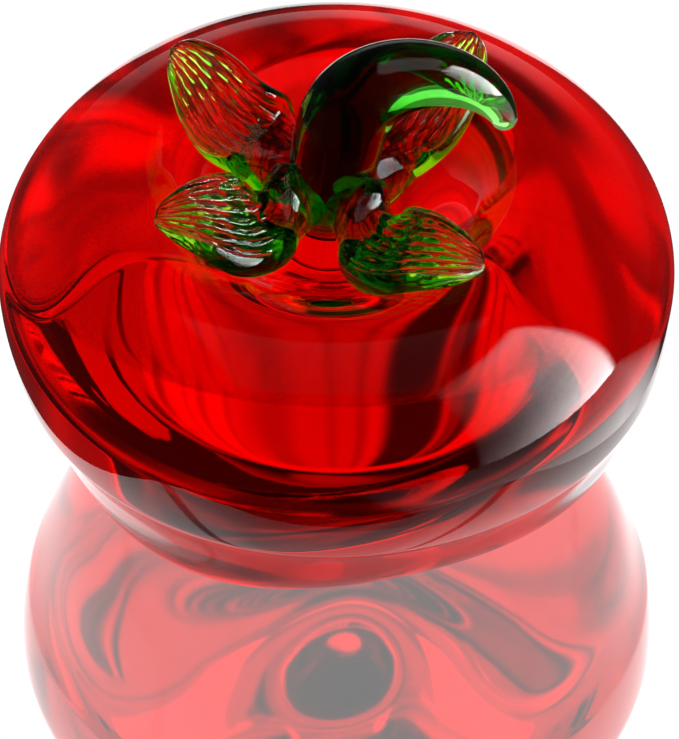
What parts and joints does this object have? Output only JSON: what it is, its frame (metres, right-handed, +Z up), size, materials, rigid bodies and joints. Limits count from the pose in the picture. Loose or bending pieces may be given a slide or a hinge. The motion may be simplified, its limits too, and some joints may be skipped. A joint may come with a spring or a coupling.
{
  "type": "glass tomato figurine",
  "caption": "Solid ruby glass tomato paperweight on a flat ground base, with a hooked green glass stalk and ribbed glass sepals hot-joined in its dimple.",
  "frame": {"origin": "middle of the bounding box at its bottom, on the flat ground base", "axes": "+Z up from the base, -Y towards the viewer, +X the way the stalk's hook points"},
  "size_m": [0.08, 0.08, 0.0685],
  "materials": {
    "ruby_glass": "clear ruby red, fire-polished, ground flat under the base",
    "stalk_glass": "clear deep green, fire-polished",
    "sepal_glass": "clear green, pressed with ribs"
  },
  "bodies": {
    "root": {"tomato_body": "ruby_glass", "stalk": "stalk_glass", "sepal_front_left": "sepal_glass", "sepal_front_right": "sepal_glass", "sepal_back_right": "sepal_glass", "sepal_back_left": "sepal_glass"}
  },
  "joints": []
}
